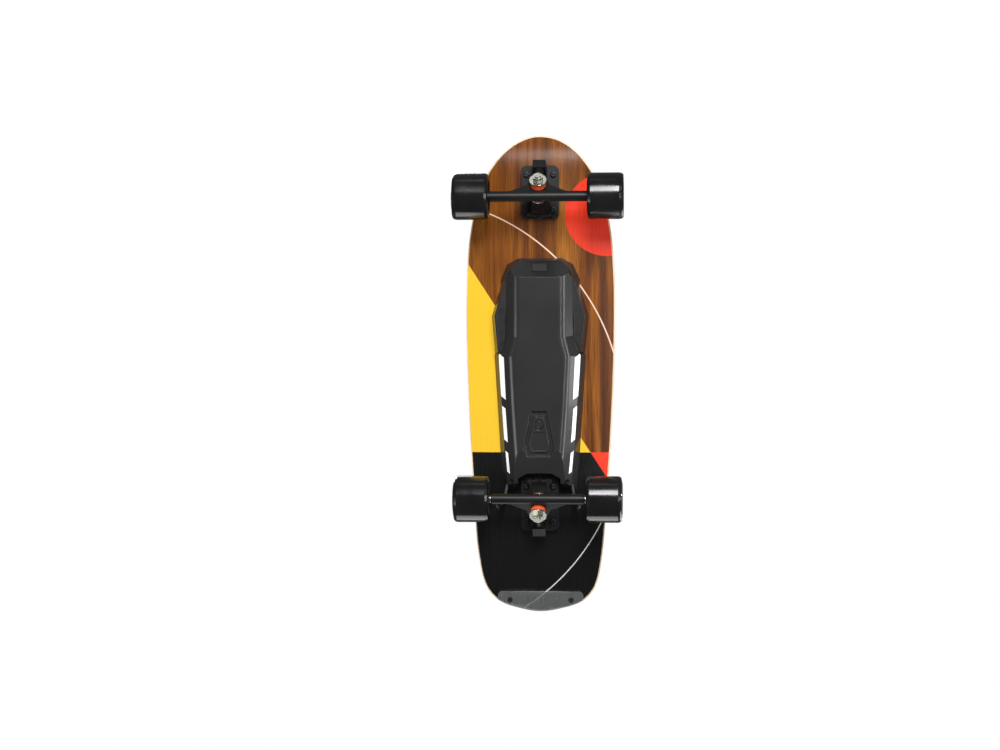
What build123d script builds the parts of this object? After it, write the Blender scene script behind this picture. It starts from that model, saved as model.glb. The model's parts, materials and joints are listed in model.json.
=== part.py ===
"""Electric skateboard: a kicktail deck, two sprung trucks, two free wheels, two hub motors and a
battery enclosure, each piece a solid of its own.

Frame: +X to the nose, +Y to the rider's left, +Z up, origin on the ground under the deck's middle.
All lengths are millimetres.
"""
from build123d import *
from math import cos, radians, sin, sqrt, tan
import os

# ---------------------------------------------------------------- driving dimensions
DECK_LENGTH = 735.0
DECK_WIDTH = 230.0
BELLY_HEIGHT = 100.0  # ground to the flat middle of the deck's underside
VENEER = 1.2  # each outer ply
CORE_THICKNESS = 7.6
GRIP_THICKNESS = 1.0
GRIP_INSET = 2.6
TOP_INSET = 0.7
BELLY_INSET = 2.0  # leaves a pale rim of the core in sight from below
FLAT_HALF = 29.0  # half-width of the flat strip that the hardware bolts to
CONCAVE = 9.0  # edge rise along the middle
FLARE = 10.5  # extra edge rise over the front wheels
NOSE_RISE = 13.0
NOSE_KICK = 50.0
TAIL_RISE = 25.0
TAIL_KICK = 126.0
GRIP_DISC_RADIUS = 26.6
GRIP_DISC_AT = (143.5, -59.8)
GRIP_LINE = 2.6  # width of the curved cut-out

FRONT_AXLE_X = 267.4
REAR_AXLE_X = -189.1
WHEEL_RADIUS = 35.0
AXLE_HEIGHT = WHEEL_RADIUS
STEER_ANGLE = 41.0  # between the steering axis and the deck
TRUCK_SPACING = 54.0  # bolt spacing along the board
TRUCK_GAUGE = 41.3  # bolt spacing across the board
TRUCK_BOLT = 5.0
PLATE_LENGTH = 82.0
PLATE_WIDTH = 58.0
PLATE_THICKNESS = 6.0
PLATE_CENTRE = 11.0  # outboard of the axle
RISER = 3.0
SEAT_T = 19.5  # bushing seat along the steering axis, from the axle
RING_HALF = 4.0
KINGPIN_RADIUS = 4.75
BOARD_BUSHING = 14.0
ROAD_BUSHING = 10.0
BUSHING_RADIUS = 11.5
WASHER = 1.6
PIVOT_RADIUS = 6.0
BAR_RADIUS = 8.0

FRONT_BAR_HALF = 90.0
FRONT_WHEEL_OUT = 129.5
FRONT_WHEEL_WIDTH = 55.0
AXLE_RADIUS = 4.0
BEARING_RADIUS = 11.0
BEARING_WIDTH = 7.0
BEARING_GAP = 8.0
REAR_BAR_HALF = 71.0
REAR_WHEEL_OUT = 127.5
REAR_WHEEL_WIDTH = 55.0
MOTOR_AXLE_RADIUS = 6.0
CAN_RADIUS = 28.0
CAN_WALL = 3.0
STATOR_RADIUS = 21.8
POLES = 14
SLOTS = 12

SHELL_DEPTH = 36.0
SHELL_WALL = 2.6
SHELL_DRAFT = 22.0
SHELL_NOSE = 147.0  # where the full depth ends
SHELL_TAIL_CREASE = -118.0
SHELL_TAIL = -163.5
SHELL_ROUND = 16.0  # between the shell's floor and its walls
SHELL_INNER_ROUND = 8.0
GASKET = 1.0
BUTTON_RADIUS = 6.5
BUTTON_TRAVEL = 1.5
BUTTON_X = -78.0
CELL_RADIUS = 9.2
CELL_LENGTH = 65.0
RUN = 0.08  # radial clearance of a running fit
GAP = 0.4  # clearance between pieces that move past each other

# ---------------------------------------------------------------- derived places
NOSE_X = DECK_LENGTH / 2
TAIL_X = -NOSE_X
HALF_WIDTH = DECK_WIDTH / 2
DECK_THICKNESS = CORE_THICKNESS + 2 * VENEER
SHELL_Z = BELLY_HEIGHT - SHELL_DEPTH
PLATE_TOP = BELLY_HEIGHT - RISER - AXLE_HEIGHT  # above the axle
STEER_U = Vector(cos(radians(STEER_ANGLE)), 0, sin(radians(STEER_ANGLE)))
KINGPIN_K = Vector(sin(radians(STEER_ANGLE)), 0, -cos(radians(STEER_ANGLE)))
SEAT = STEER_U * SEAT_T
BEARING_IN = FRONT_BAR_HALF + 1.0
BEARING_OUT = BEARING_IN + 2 * BEARING_WIDTH + BEARING_GAP


# ---------------------------------------------------------------- small helpers
def smooth(v):
    v = min(max(v, 0.0), 1.0)
    return v * v * (3 - 2 * v)


def fused(items):
    items = list(items)
    out = items[0]
    for item in items[1:]:
        out = out + item
    return out


def group(items):
    """Separate solids kept together in one node."""
    return Compound(children=[s for item in items for s in item.solids()])


def disc(axis_point, axis, radius, length, inner=0.0):
    """A cylinder or ring that starts at a point and runs along an axis."""
    face = Circle(radius) - Circle(inner) if inner else Circle(radius)
    return extrude(Plane(origin=axis_point, z_dir=axis) * face, length)


def cone(axis_point, axis, start, end, length):
    plane = Plane(origin=axis_point, z_dir=axis)
    return plane * Pos(0, 0, length / 2) * Cone(start, end, length)


def hexagon(axis_point, axis, flats, length, inner=0.0):
    face = RegularPolygon(flats / 2, 6, major_radius=False)
    if inner:
        face = face - Circle(inner)
    return extrude(Plane(origin=axis_point, z_dir=axis) * face, length)


def turned(profile, centre=(0, 0, 0)):
    """A solid of revolution about Y from (radius, y) points."""
    face = make_face(Polyline(*[(r, y) for r, y in profile], close=True))
    return Pos(*centre) * revolve(face, Axis.Y)


def prism(points, low, high):
    return extrude(Pos(0, 0, low) * make_face(Polyline(*points, close=True)), high - low)


def side_prism(points, half):
    """An outline in X and Z, extruded to both sides of the middle plane."""
    face = make_face(Polyline(*points, close=True))
    return extrude(Plane.XZ * face, half, both=True)


def both_sides(right_half):
    """A closed outline from its points with positive Y, mirrored to the other side."""
    return list(right_half) + [(x, -y) for x, y in reversed(right_half)]


# ---------------------------------------------------------------- deck
OUTLINE = [  # share of the length from the nose, share of the half-width
    (0.0, 0.0), (0.012, 0.290), (0.053, 0.590), (0.11, 0.80), (0.20, 0.943),
    (0.35, 1.0), (0.50, 0.985), (0.64, 0.943), (0.807, 0.870), (0.912, 0.796),
    (0.952, 0.715), (0.978, 0.560), (0.9925, 0.310), (1.0, 0.0),
]


def belly_z(x, y):
    """Height of the deck's underside: a flat strip, raised edges and two kicks."""
    nose = max(x - (NOSE_X - NOSE_KICK), 0) / NOSE_KICK
    tail = max((TAIL_X + TAIL_KICK) - x, 0) / TAIL_KICK
    across = max(abs(y) - FLAT_HALF, 0) / (HALF_WIDTH - FLAT_HALF)
    fade = smooth((x + 262) / 90) * smooth((342 - x) / 60)
    flare = smooth(1 - abs(x - FRONT_AXLE_X) / 85)
    rise = (CONCAVE + FLARE * flare) * fade * across**2
    return BELLY_HEIGHT + NOSE_RISE * nose**2 + TAIL_RISE * tail**2 + rise


def belly_face():
    rows = [TAIL_X - 22.5 + 20 * i for i in range(40)]
    columns = [-1.12 * HALF_WIDTH + 0.112 * HALF_WIDTH * j for j in range(21)]
    grid = [[Vector(x, y, belly_z(x, y)) for y in columns] for x in rows]
    return Face.make_surface_from_array_of_points(grid, tol=0.02)


BELLY = belly_face()


def slab(low, high):
    """Everything between two heights above the underside."""
    return Solid.extrude(BELLY.moved(Location((0, 0, low))), Vector(0, 0, high - low))


ABOVE_BELLY = slab(0, 60)


def deck_outline(inset=0.0):
    length = DECK_LENGTH - 2 * inset
    points = [(length / 2 - length * s, (HALF_WIDTH - inset) * w) for s, w in OUTLINE]
    other_side = [(x, -y) for x, y in points[-2:0:-1]]
    return make_face(Spline(*points, *other_side, periodic=True))


def deck_layer(low, high, inset=0.0):
    column = extrude(Pos(0, 0, SHELL_Z) * deck_outline(inset), 150)
    return slab(low, high) & column


def truck_bolt_places():
    for axle, out in ((FRONT_AXLE_X, 1), (REAR_AXLE_X, -1)):
        for along in (-TRUCK_SPACING / 2, TRUCK_SPACING / 2):
            for side in (-TRUCK_GAUGE / 2, TRUCK_GAUGE / 2):
                yield Vector(axle + out * (PLATE_CENTRE + along), side, 0)


UP = Vector(0, 0, 1)
INSERT_RADIUS = 4.0
INSERT_LENGTH = 7.0
SHELL_SCREW = 2.0
WING_SCREWS = [(95.0, 59.0), (60.0, 59.0)]
LUG_SCREWS = [(-165.0, 43.0)]
GUARD_SCREW_X = TAIL_X + 18.0
GUARD_SCREW_Y = 47.0


def mirrored(points):
    return [(x, s * y) for x, y in points for s in (1, -1)]


def shell_screw_places():
    return mirrored(WING_SCREWS + LUG_SCREWS)


def guard_screw_places():
    return mirrored([(GUARD_SCREW_X, GUARD_SCREW_Y)])


def grip_cutouts():
    """The round window and the long thin curve that show the wood through the grip."""
    x, y = GRIP_DISC_AT
    window = Pos(x, y, 0) * Circle(GRIP_DISC_RADIUS)
    path = Spline((8, 116), (-9, 80), (-60, 9), (-134, -47), (-217, -80), (-279, -90))
    line = trace(path, line_width=GRIP_LINE)
    return extrude(Pos(0, 0, SHELL_Z) * window, 150) + extrude(Pos(0, 0, SHELL_Z) * line, 150)


def deck_parts():
    core = deck_layer(VENEER, VENEER + CORE_THICKNESS)
    belly = deck_layer(0, VENEER, BELLY_INSET)
    top = deck_layer(VENEER + CORE_THICKNESS, DECK_THICKNESS, TOP_INSET)
    inserts = []
    for place in truck_bolt_places():
        seat = Vector(place.X, place.Y, BELLY_HEIGHT - 2)
        hole = disc(seat, UP, INSERT_RADIUS, 2 + INSERT_LENGTH)
        core = core - hole
        belly = belly - hole
        sleeve = disc(seat, UP, INSERT_RADIUS, 2 + INSERT_LENGTH, TRUCK_BOLT / 2)
        inserts.append(sleeve - prism(square_about(place, 12), BELLY_HEIGHT - 3, BELLY_HEIGHT + 0.2))
    for x, y in shell_screw_places() + guard_screw_places():
        hole = disc((x, y, BELLY_HEIGHT - 5), UP, SHELL_SCREW, 5 + belly_z(x, y) - BELLY_HEIGHT + 6.5)
        core = core - hole
        belly = belly - hole
    grip = deck_layer(DECK_THICKNESS, DECK_THICKNESS + GRIP_THICKNESS, GRIP_INSET) - grip_cutouts()
    return {
        "deck_core": core,
        "belly_veneer": belly,
        "top_veneer": top,
        "grip_tape": group([grip]),
        "threaded_inserts": group(inserts),
    }


def square_about(place, size):
    h = size / 2
    return [(place.X - h, place.Y - h), (place.X + h, place.Y - h),
            (place.X + h, place.Y + h), (place.X - h, place.Y + h)]


GUARD_LENGTH = 31.0
GUARD_HALF = 66.0
GUARD_Z = BELLY_HEIGHT + 9.0


def tail_guard_parts():
    """A clear wedge under the tail with a flat foot, ribs and two screws."""
    low, high = TAIL_X, TAIL_X + GUARD_LENGTH
    blank = extrude(Pos(0, 0, GUARD_Z) * deck_outline(1.2), 60)
    window = prism([(low - 5, -GUARD_HALF), (high, -GUARD_HALF), (high, GUARD_HALF),
                    (low - 5, GUARD_HALF)], GUARD_Z - 5, GUARD_Z + 70)
    wedge = (blank & window) - ABOVE_BELLY
    wedge = fillet(wedge.edges().filter_by(Axis.Z).group_by(Axis.X)[-1], 6)
    for i in range(7):
        rib = Pos(low + 17, 9.5 * (i - 3), GUARD_Z) * Box(11, 4.5, 2.4)
        wedge = wedge - rib
    screws = []
    for x, y in guard_screw_places():
        wedge = wedge - disc((x, y, GUARD_Z - 1), UP, SHELL_SCREW + 0.1, 60)
        wedge = wedge - disc((x, y, GUARD_Z - 1), UP, 4.3, 3.4)
        shank = disc((x, y, GUARD_Z + 2.4), UP, SHELL_SCREW, belly_z(x, y) + 6 - GUARD_Z - 2.4)
        head = disc((x, y, GUARD_Z + 0.2), UP, 4.0, 2.2)
        socket = hexagon((x, y, GUARD_Z + 0.2), UP, 2.5, 1.4)
        screws.append(shank + head - socket)
    return {"tail_guard": wedge, "tail_guard_screws": group(screws)}


# ---------------------------------------------------------------- trucks, axle at the origin
def on_kingpin(s):
    """A point on the kingpin's axis, s above the middle of the hanger's ring."""
    return SEAT - KINGPIN_K * s


KINGPIN_UP = KINGPIN_K * -1
SEAT_S = RING_HALF + BOARD_BUSHING + WASHER
ROAD_S = RING_HALF + ROAD_BUSHING + WASHER
NUT_HEIGHT = 7.5
CUP_RADIUS = 7.4
SEAT_HALF = 15.5
CUP_START = 54.5
CUP_LENGTH = 13.0
BOSS_END = 70.5
BOSS_HALF = 9.0
WEB_HALF_THICK = 4.6


def in_steer_plane(t, s):
    """X and Z of a point given along the steering axis and along the kingpin."""
    return (t * cos(radians(STEER_ANGLE)) - s * sin(radians(STEER_ANGLE)),
            t * sin(radians(STEER_ANGLE)) + s * cos(radians(STEER_ANGLE)))


def baseplate():
    low = PLATE_TOP - PLATE_THICKNESS
    inboard = PLATE_CENTRE - PLATE_LENGTH / 2
    outboard = PLATE_CENTRE + PLATE_LENGTH / 2
    plate = Pos(PLATE_CENTRE, 0, (low + PLATE_TOP) / 2) * Box(PLATE_LENGTH, PLATE_WIDTH, PLATE_THICKNESS)
    plate = fillet(plate.edges().filter_by(Axis.Z), 9)
    seat_out = in_steer_plane(SEAT_T + SEAT_HALF, SEAT_S)
    seat_in = in_steer_plane(SEAT_T - SEAT_HALF + 2, SEAT_S)
    spine = side_prism([
        (inboard + 2, PLATE_TOP), (inboard + 3, low), (-23.5, 43), (-19, 33), seat_in, seat_out,
        (20, 44), (29, 45), in_steer_plane(CUP_START, 5), in_steer_plane(BOSS_END, 5),
        (51, low), (51, PLATE_TOP),
    ], 11)
    boss = side_prism([
        in_steer_plane(CUP_START, BOSS_HALF), in_steer_plane(CUP_START, -BOSS_HALF),
        in_steer_plane(BOSS_END, -BOSS_HALF), in_steer_plane(BOSS_END, BOSS_HALF),
    ], BOSS_HALF + 1)
    foot = prism([(inboard + 3, -20), (4, -15), (4, 15), (inboard + 3, 20)], low - 9, low + 1)
    body = plate + spine + foot + boss
    body = body - disc(on_kingpin(SEAT_S - 1), KINGPIN_UP, KINGPIN_RADIUS, 60)
    body = body - hexagon(on_kingpin(SEAT_S + 16), KINGPIN_UP, 14.4, 40)
    body = body - disc(STEER_U * (CUP_START - 1), STEER_U, CUP_RADIUS, CUP_LENGTH + 1)
    for along in (-TRUCK_SPACING / 2, TRUCK_SPACING / 2):
        for side in (-TRUCK_GAUGE / 2, TRUCK_GAUGE / 2):
            x = PLATE_CENTRE + along
            body = body - disc((x, side, low - 30), UP, TRUCK_BOLT / 2 + 0.2, 60)
            body = body - disc((x, side, low - 30), UP, 5.4, 30)
    return body


def hanger(bar_half):
    """Bar, ring, webs and pivot stem in one casting, with its axle bore."""
    bar = disc((0, -bar_half, 0), (0, 1, 0), BAR_RADIUS, 2 * bar_half)
    bar = chamfer(bar.edges(), 1.2)
    plane = Plane(origin=(0, 0, 0), x_dir=STEER_U, z_dir=KINGPIN_K)
    web = make_face(Polyline((0, -46), (0, 46), (6, 44), (SEAT_T, 17.5), (32, 12), (40, 6.5),
                             (40, -6.5), (32, -12), (SEAT_T, -17.5), (6, -44), close=True))
    web = extrude(plane * web, WEB_HALF_THICK, both=True)
    web = fillet(web.edges().filter_by(Axis(origin=(0, 0, 0), direction=KINGPIN_K)), 3)
    ring = disc(on_kingpin(-WEB_HALF_THICK), KINGPIN_UP, 17, 2 * WEB_HALF_THICK)
    stem = cone(STEER_U * 30, STEER_U, 8.4, 7.0, CUP_START - GAP - 30)
    pin = disc(STEER_U * 44, STEER_U, PIVOT_RADIUS, CUP_START + CUP_LENGTH - 3 - 44)
    stem = stem - disc(on_kingpin(-20), KINGPIN_UP, 13, 40)
    body = bar + web + ring + stem + pin
    seat = 2 * (WEB_HALF_THICK - RING_HALF)
    body = body - disc(on_kingpin(-20), KINGPIN_UP, 8, 40)
    body = body - disc(on_kingpin(RING_HALF), KINGPIN_UP, BUSHING_RADIUS + GAP, 14 + seat)
    body = body - disc(on_kingpin(-RING_HALF), KINGPIN_K, BUSHING_RADIUS + GAP, 14 + seat)
    return body


def truck_hardware():
    """Kingpin, nut, washers, bushings and pivot cup of one truck."""
    pin = disc(on_kingpin(-ROAD_S - NUT_HEIGHT - 2.5), KINGPIN_UP, KINGPIN_RADIUS,
               ROAD_S + NUT_HEIGHT + 2.5 + SEAT_S + 16)
    head = hexagon(on_kingpin(SEAT_S + 16), KINGPIN_UP, 14.2, 5)
    nut = hexagon(on_kingpin(-ROAD_S), KINGPIN_K, 14.3, NUT_HEIGHT, KINGPIN_RADIUS)
    bore = KINGPIN_RADIUS
    washers = [
        disc(on_kingpin(SEAT_S - WASHER), KINGPIN_UP, 15.0, WASHER, bore),
        disc(on_kingpin(-ROAD_S), KINGPIN_UP, 13.0, WASHER, bore),
    ]
    upper = disc(on_kingpin(RING_HALF), KINGPIN_UP, BUSHING_RADIUS, BOARD_BUSHING, bore)
    lower = cone(on_kingpin(-RING_HALF), KINGPIN_K, BUSHING_RADIUS, BUSHING_RADIUS - 1.5, ROAD_BUSHING)
    lower = lower - disc(on_kingpin(-30), KINGPIN_UP, bore, 40)
    cup = disc(STEER_U * CUP_START, STEER_U, CUP_RADIUS, CUP_LENGTH)
    cup = cup - disc(STEER_U * (CUP_START - 1), STEER_U, PIVOT_RADIUS + RUN, CUP_LENGTH - 1)
    return {"kingpin": pin + head, "nut": nut, "washers": washers, "bushings": [upper, lower], "cup": cup}


def at_front(shape):
    return Pos(FRONT_AXLE_X, 0, AXLE_HEIGHT) * shape


def at_rear(shape):
    return Pos(REAR_AXLE_X, 0, AXLE_HEIGHT) * Rot(0, 0, 180) * shape


def truck_parts():
    hardware = truck_hardware()
    plate = baseplate()
    low = AXLE_HEIGHT + PLATE_TOP - PLATE_THICKNESS
    risers = []
    for axle, out in ((FRONT_AXLE_X, 1), (REAR_AXLE_X, -1)):
        pad = Pos(axle + out * PLATE_CENTRE, 0, BELLY_HEIGHT) * Box(PLATE_LENGTH, PLATE_WIDTH, 2 * RISER)
        pad = fillet(pad.edges().filter_by(Axis.Z), 9)
        risers.append(pad - ABOVE_BELLY)
    bolts = []
    for place in truck_bolt_places():
        shank = disc((place.X, place.Y, low), UP, TRUCK_BOLT / 2, BELLY_HEIGHT + 6 - low)
        head = disc((place.X, place.Y, low - 3.4), UP, 4.6, 3.4)
        head = fillet(head.edges().group_by(Axis.Z)[0], 1.6)
        bolts.append(shank + head - hexagon((place.X, place.Y, low - 3.4), UP, 3.2, 2))
        risers = [r - disc((place.X, place.Y, low), UP, TRUCK_BOLT / 2 + 0.2, 40) for r in risers]
    pair = (at_front, at_rear)
    return {
        "riser_pads": group(risers),
        "front_baseplate": at_front(plate),
        "rear_baseplate": at_rear(plate),
        "truck_bolts": group(bolts),
        "kingpins": group([put(hardware["kingpin"]) for put in pair]),
        "kingpin_nuts": group([put(hardware["nut"]) for put in pair]),
        "bushing_washers": group([put(w) for put in pair for w in hardware["washers"]]),
        "front_bushings": group([at_front(b) for b in hardware["bushings"]]),
        "rear_bushings": group([at_rear(b) for b in hardware["bushings"]]),
        "pivot_cups": group([put(hardware["cup"]) for put in pair]),
    }


# ---------------------------------------------------------------- front wheels
def sides(make):
    """The same piece on both sides, made for +Y and mirrored."""
    left = make()
    return [left, mirror(left, Plane.XZ)]


def front_axle_parts():
    body = hanger(FRONT_BAR_HALF)
    tip = BEARING_OUT + 1 + 8
    body = body - disc((0, -FRONT_BAR_HALF - 1, 0), (0, 1, 0), AXLE_RADIUS, 2 * FRONT_BAR_HALF + 2)
    axle = chamfer(disc((0, -tip, 0), (0, 1, 0), AXLE_RADIUS, 2 * tip).edges(), 0.6)
    inner = AXLE_RADIUS
    cone_r = 6.2

    def cones():
        first = disc((0, BEARING_IN, 0), (0, 1, 0), cone_r, BEARING_WIDTH, inner)
        sleeve = disc((0, BEARING_IN + BEARING_WIDTH, 0), (0, 1, 0), 5.4, BEARING_GAP, inner)
        last = disc((0, BEARING_OUT - BEARING_WIDTH, 0), (0, 1, 0), cone_r, BEARING_WIDTH, inner)
        return first + sleeve + last

    def washers():
        return group([disc((0, BEARING_IN - 1, 0), (0, 1, 0), 5.8, 1, inner),
                      disc((0, BEARING_OUT, 0), (0, 1, 0), 5.8, 1, inner)])

    def nut():
        return hexagon((0, BEARING_OUT + 1, 0), (0, 1, 0), 12.7, 6.5, inner)

    return {
        "front_hanger": at_front(body),
        "front_axle": at_front(axle),
        "front_bearing_cones": group([at_front(s) for s in sides(cones)]),
        "front_speed_washers": group([at_front(s) for s in sides(washers)]),
        "front_axle_nuts": group([at_front(s) for s in sides(nut)]),
    }


CORE_RADIUS = 19.0
RECESS_RADIUS = 25.5


def front_tyre():
    """Urethane tyre: rounded tread edges, two lip rings and a deep recess on each face."""
    out = FRONT_WHEEL_OUT
    inn = FRONT_WHEEL_OUT - FRONT_WHEEL_WIDTH
    r = WHEEL_RADIUS
    core_in = BEARING_IN - 1
    core_out = BEARING_OUT + 1
    body = turned([
        (CORE_RADIUS, core_in), (RECESS_RADIUS - 2, inn + 4), (RECESS_RADIUS, inn), (r - 4, inn),
        (r - 1.2, inn + 1.4), (r, inn + 5), (r, out - 7), (r - 0.8, out - 3), (r - 2.4, out - 1),
        (r - 3.5, out - 0.6), (r - 4, out - 1.4), (r - 6.4, out - 1.4), (r - 6.9, out - 0.4),
        (r - 7.6, out - 0.4), (r - 8.4, out - 2), (RECESS_RADIUS - 2.5, core_out + 4),
        (CORE_RADIUS, core_out),
    ])
    return body


def front_core():
    core_in = BEARING_IN - 1
    core_out = BEARING_OUT + 1
    body = turned([
        (BEARING_RADIUS, core_in), (CORE_RADIUS, core_in), (CORE_RADIUS, core_out),
        (BEARING_RADIUS, core_out), (BEARING_RADIUS, BEARING_OUT - BEARING_WIDTH),
        (8.6, BEARING_OUT - BEARING_WIDTH), (8.6, BEARING_IN + BEARING_WIDTH),
        (BEARING_RADIUS, BEARING_IN + BEARING_WIDTH),
    ])
    pocket = disc((14.9, core_out - 3, 0), (0, 1, 0), 1.9, 6)
    for i in range(10):
        body = body - Rot(0, 36 * i, 0) * pocket
    return body


def bearing_ring(y, radius, width, bore):
    """Outer race with its shield, open round the inner race."""
    return turned([
        (bore, y + 0.6), (radius - 1.6, y + 0.6), (radius - 1.6, y), (radius, y),
        (radius, y + width), (radius - 1.6, y + width), (radius - 1.6, y + width - 0.6),
        (bore, y + width - 0.6),
    ])


def front_wheel_parts():
    rings = group([bearing_ring(y, BEARING_RADIUS, BEARING_WIDTH, 6.2 + GAP)
                   for y in (BEARING_IN, BEARING_OUT - BEARING_WIDTH)])
    made = {"tyre": front_tyre(), "core": front_core(), "bearing_rings": rings}
    out = {}
    for side, flip in (("left", False), ("right", True)):
        for name, shape in made.items():
            placed = at_front(mirror(shape, Plane.XZ) if flip else shape)
            out[f"front_{side}_{name}"] = group([placed])
    return out


# ---------------------------------------------------------------- rear hub motors
MOTOR_IN = REAR_WHEEL_OUT - REAR_WHEEL_WIDTH
INNER_BEARING = MOTOR_IN + 1.5
OUTER_BEARING = REAR_WHEEL_OUT - 12.5
MOTOR_BEARING_RADIUS = 12.0
MOTOR_BEARING_WIDTH = 6.0
MOTOR_CONE = 8.0
STATOR_IN = MOTOR_IN + 13.0
STATOR_OUT = REAR_WHEEL_OUT - 16.0
CAP_PLATE = REAR_WHEEL_OUT - 7.0
CAP_RADIUS = 30.2
CAP_SCREW_CIRCLE = 26.0


def stator():
    """Laminated core with slots, pressed on the fixed axle."""
    height = STATOR_OUT - STATOR_IN
    body = disc((0, STATOR_IN, 0), (0, 1, 0), STATOR_RADIUS, height, MOTOR_AXLE_RADIUS)
    slot = Pos(15.7, STATOR_IN + height / 2, 0) * Box(7.0, height + 2, 4.4)
    mouth = Pos(20.5, STATOR_IN + height / 2, 0) * Box(4, height + 2, 1.4)
    for i in range(SLOTS):
        body = body - Rot(0, 360 * i / SLOTS, 0) * (slot + mouth)
    return body


def windings():
    """One copper coil on each tooth: the two slot sides and both end turns."""
    height = STATOR_OUT - STATOR_IN
    outer = Pos(15.7, STATOR_IN + height / 2, 0) * Box(6.0, height + 5.6, 6.6)
    tooth = Pos(15.7, STATOR_IN + height / 2, 0) * Box(8.0, height, 3.9)
    coil = outer - tooth
    core = stator()
    return [Rot(0, 360 * (i + 0.5) / SLOTS, 0) * coil - core for i in range(SLOTS)]


def motor_can():
    """Steel rotor tube with the vented inner wall and its bearing seat."""
    r = CAN_RADIUS
    body = turned([
        (MOTOR_BEARING_RADIUS, MOTOR_IN), (r - 1, MOTOR_IN), (r, MOTOR_IN + 1), (r, CAP_PLATE),
        (r - CAN_WALL, CAP_PLATE), (r - CAN_WALL, MOTOR_IN + 3.5), (15, MOTOR_IN + 3.5),
        (15, INNER_BEARING + MOTOR_BEARING_WIDTH),
        (MOTOR_BEARING_RADIUS, INNER_BEARING + MOTOR_BEARING_WIDTH),
    ])
    vent = Pos(20, MOTOR_IN + 2, 0) * Box(6, 8, 5)
    for i in range(8):
        body = body - Rot(0, 45 * i, 0) * vent
    return body


def magnets():
    ring = disc((0, STATOR_IN, 0), (0, 1, 0), CAN_RADIUS - CAN_WALL, STATOR_OUT - STATOR_IN,
                STATOR_RADIUS + 0.7)
    wedge = Pos(20, (STATOR_IN + STATOR_OUT) / 2, 0) * Box(24, 60, 9.4)
    return [ring & (Rot(0, 360 * i / POLES, 0) * wedge) for i in range(POLES)]


def rear_sleeve():
    """Urethane sleeve pushed over the can."""
    r = WHEEL_RADIUS
    inn = MOTOR_IN + 0.5
    out = REAR_WHEEL_OUT - 1.5
    return turned([
        (CAN_RADIUS, inn), (r - 4, inn), (r - 1, inn + 1.5), (r, inn + 5), (r, out - 5),
        (r - 0.9, out - 1.8), (r - 3, out), (CAP_RADIUS + GAP, out), (CAP_RADIUS + GAP, CAP_PLATE),
        (CAN_RADIUS, CAP_PLATE),
    ])


def motor_cap():
    """Outer cover: domed face, engraved zigzag grooves, screw seats and a bearing seat."""
    out = REAR_WHEEL_OUT
    body = turned([
        (MOTOR_BEARING_RADIUS, OUTER_BEARING), (14.5, OUTER_BEARING), (14.5, CAP_PLATE),
        (CAP_RADIUS, CAP_PLATE), (CAP_RADIUS, out - 3), (CAP_RADIUS - 1.6, out - 1), (24, out),
        (9, out), (9, out - 5), (MOTOR_BEARING_RADIUS, OUTER_BEARING + MOTOR_BEARING_WIDTH),
    ])
    groove = Polyline((12, 3), (15.5, 8), (20.5, 4), (25, 9.5))
    line = trace(groove, line_width=0.9)
    for i in range(5):
        mark = extrude(Plane(origin=(0, out - 0.7, 0), x_dir=(1, 0, 0), z_dir=(0, 1, 0)) * line, 3)
        body = body - Rot(0, 72 * i, 0) * mark
        body = body - Rot(0, 72 * i + 36, 0) * disc((CAP_SCREW_CIRCLE, CAP_PLATE - 1, 0), (0, 1, 0), 1.5, 20)
        body = body - Rot(0, 72 * i + 36, 0) * disc((CAP_SCREW_CIRCLE, out - 2.6, 0), (0, 1, 0), 3.1, 6)
    return body


def cap_screws():
    out = REAR_WHEEL_OUT
    shank = disc((CAP_SCREW_CIRCLE, CAP_PLATE, 0), (0, 1, 0), 1.5, out - 2.6 - CAP_PLATE)
    head = disc((CAP_SCREW_CIRCLE, out - 2.6, 0), (0, 1, 0), 2.8, 1.9)
    socket = hexagon((CAP_SCREW_CIRCLE, out - 1.8, 0), (0, 1, 0), 2.0, 4)
    screw = shank + head - socket
    return [Rot(0, 72 * i + 36, 0) * screw for i in range(5)]


def rear_wheel_parts():
    rings = [bearing_ring(y, MOTOR_BEARING_RADIUS, MOTOR_BEARING_WIDTH, MOTOR_CONE + GAP)
             for y in (INNER_BEARING, OUTER_BEARING)]
    made = {
        "sleeve": [rear_sleeve()], "motor_can": [motor_can()], "magnets": magnets(),
        "motor_cap": [motor_cap()], "cap_screws": cap_screws(), "bearing_rings": rings,
    }
    out = {}
    for side, flip in (("left", False), ("right", True)):
        for name, shapes in made.items():
            placed = [at_rear(mirror(s, Plane.XZ) if not flip else s) for s in shapes]
            out[f"rear_{side}_{name}"] = group(placed)
    return out


CABLE_RADIUS = 3.0


def rear_axle_parts():
    body = hanger(REAR_BAR_HALF)
    r = MOTOR_AXLE_RADIUS
    body = body - disc((0, -REAR_BAR_HALF - 1, 0), (0, 1, 0), r, 2 * REAR_BAR_HALF + 2)
    tip = OUTER_BEARING + MOTOR_BEARING_WIDTH + 4.5
    axle = chamfer(disc((0, -tip, 0), (0, 1, 0), r, 2 * tip).edges(), 0.6)

    def cones():
        return group([disc((0, y, 0), (0, 1, 0), MOTOR_CONE, MOTOR_BEARING_WIDTH, r)
                      for y in (INNER_BEARING, OUTER_BEARING)])

    def nut():
        return hexagon((0, OUTER_BEARING + MOTOR_BEARING_WIDTH, 0), (0, 1, 0), 15.2, 4, r)

    return {
        "rear_hanger": at_rear(body),
        "rear_axle": at_rear(axle),
        "rear_bearing_cones": group([at_rear(s) for s in sides(cones)]),
        "rear_axle_nuts": group([at_rear(s) for s in sides(nut)]),
        "motor_stators": group([at_rear(s) for s in sides(stator)]),
        "motor_windings": group([at_rear(m) for c in windings() for m in (c, mirror(c, Plane.XZ))]),
    }


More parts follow.
